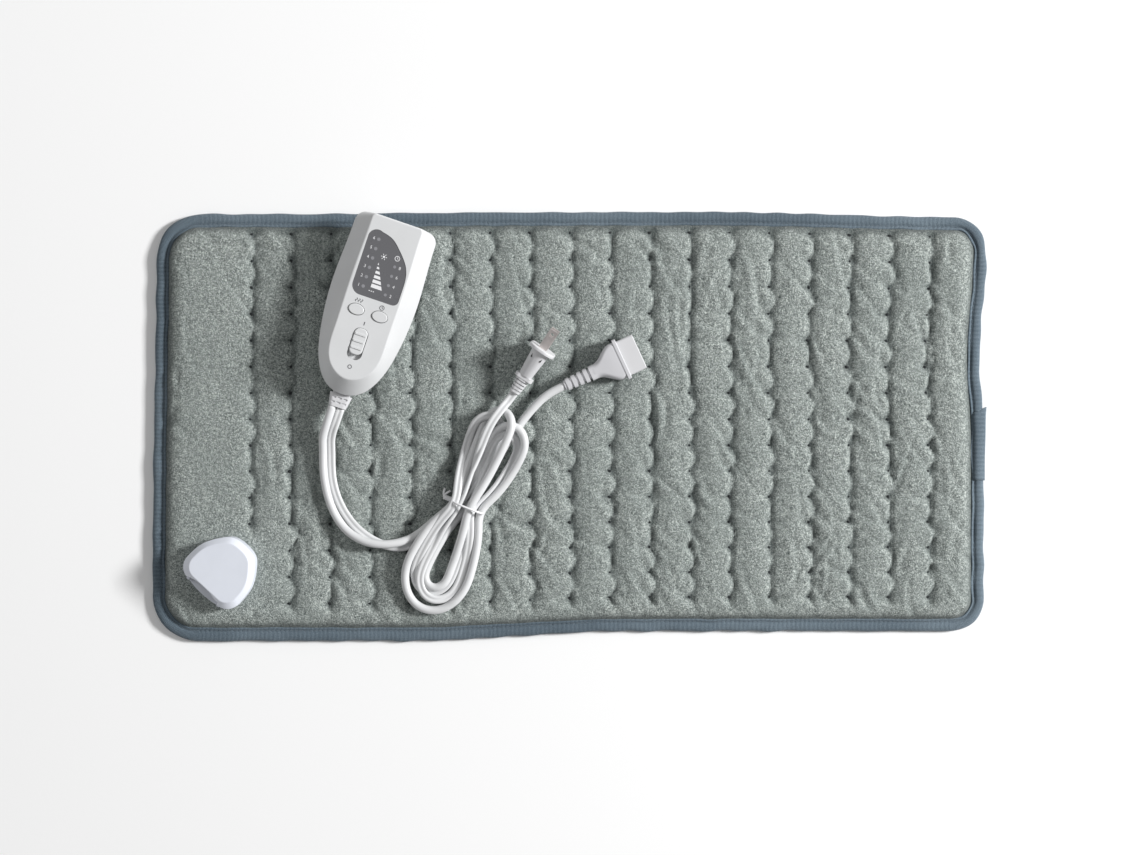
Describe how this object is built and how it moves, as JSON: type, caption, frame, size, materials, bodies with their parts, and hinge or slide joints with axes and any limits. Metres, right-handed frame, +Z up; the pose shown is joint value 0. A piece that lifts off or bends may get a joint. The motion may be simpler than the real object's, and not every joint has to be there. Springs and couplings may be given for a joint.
{
  "type": "electric heating pad",
  "caption": "Tack-quilted electric heating pad with taped edge and corner socket; a hand controller, tied cords, mains plug and flat pad connector lie on top of it.",
  "frame": {"origin": "centre of the pad's underside, on the surface that the pad lies on", "axes": "+X along the pad's length away from the socket end, +Y across the pad towards the controller's display end, +Z up out of the plush face"},
  "size_m": [0.6098, 0.3089, 0.0426],
  "materials": {
    "plush": "short-pile microplush, tack-quilted",
    "backing": "brushed polyester",
    "binding_tape": "woven polyester tape",
    "wadding": "polyester wadding",
    "carrier_cloth": "non-woven cloth",
    "wire_silicone": "silicone-insulated heating wire",
    "controller_white": "satin moulded ABS",
    "socket_white": "satin moulded ABS",
    "window_grey": "smoked clear window with printed marks",
    "clear_plastic": "milky light guide",
    "board_green": "glass-epoxy board",
    "part_black": "moulded component case",
    "film_yellow": "boxed film capacitor",
    "fuse_glass": "glass tube fuse",
    "cord_white": "soft PVC sheath",
    "cord_grey": "soft PVC sheath",
    "tie_white": "paper-covered twist tie",
    "nickel": "nickel-plated brass",
    "contact_brass": "stamped brass",
    "screw_steel": "zinc-plated steel"
  },
  "bodies": {
    "pad": {"bottom_cover": "backing", "lower_wadding": "wadding", "element_carrier": "carrier_cloth", "heating_wire": "wire_silicone", "thermostats": "part_black", "temperature_sensor": "part_black", "upper_wadding": "wadding", "top_cover": "plush", "edge_binding": "binding_tape", "binding_tail": "binding_tape", "socket_backing_plate": "socket_white", "socket_base_shell": "socket_white", "socket_top_shell": "socket_white", "pin_carrier": "part_black", "socket_pins": "contact_brass", "socket_screws": "screw_steel", "socket_leads": "wire_silicone"},
    "controller": {"front_shell": "controller_white", "rear_shell": "controller_white", "case_screws": "screw_steel", "display_window": "window_grey", "light_guide": "clear_plastic", "circuit_board": "board_green", "indicator_leds": "clear_plastic", "tact_switches": "part_black", "slide_switch_body": "part_black", "triac": "part_black", "film_capacitor": "film_yellow", "fuse": "fuse_glass", "strain_relief_boot": "cord_white", "cord_clamp": "controller_white", "controller_leads": "wire_silicone", "plug_blades": "nickel", "plug_bridge": "part_black", "plug_overmould": "cord_white", "connector_block": "cord_white", "connector_contacts": "contact_brass", "connector_body": "cord_grey", "pad_cord_lead": "cord_white", "mains_cord_lead": "cord_white", "pad_cord_tail": "cord_white", "mains_cord_tail": "cord_white", "cord_hank": "cord_white", "cord_tie": "tie_white"},
    "heat_button_cap": {"heat_button": "controller_white"},
    "timer_button_cap": {"timer_button": "controller_white"},
    "power_knob": {"power_slider": "controller_white"}
  },
  "joints": [
    {"name": "controller_lift", "type": "slide", "parent": "pad", "child": "controller", "axis": [0, 0, 1], "range_m": [0, 0.15]},
    {"name": "heat_press", "type": "slide", "parent": "controller", "child": "heat_button_cap", "axis": [-0.0991, 0.0332, -0.9945], "range_m": [0, 0.0008], "stiffness_N_per_m": 2500},
    {"name": "timer_press", "type": "slide", "parent": "controller", "child": "timer_button_cap", "axis": [-0.0991, 0.0332, -0.9945], "range_m": [0, 0.0008], "stiffness_N_per_m": 2500},
    {"name": "power_slide", "type": "slide", "parent": "controller", "child": "power_knob", "axis": [-0.3173, -0.9483, 0], "range_m": [0, 0.0035]}
  ]
}
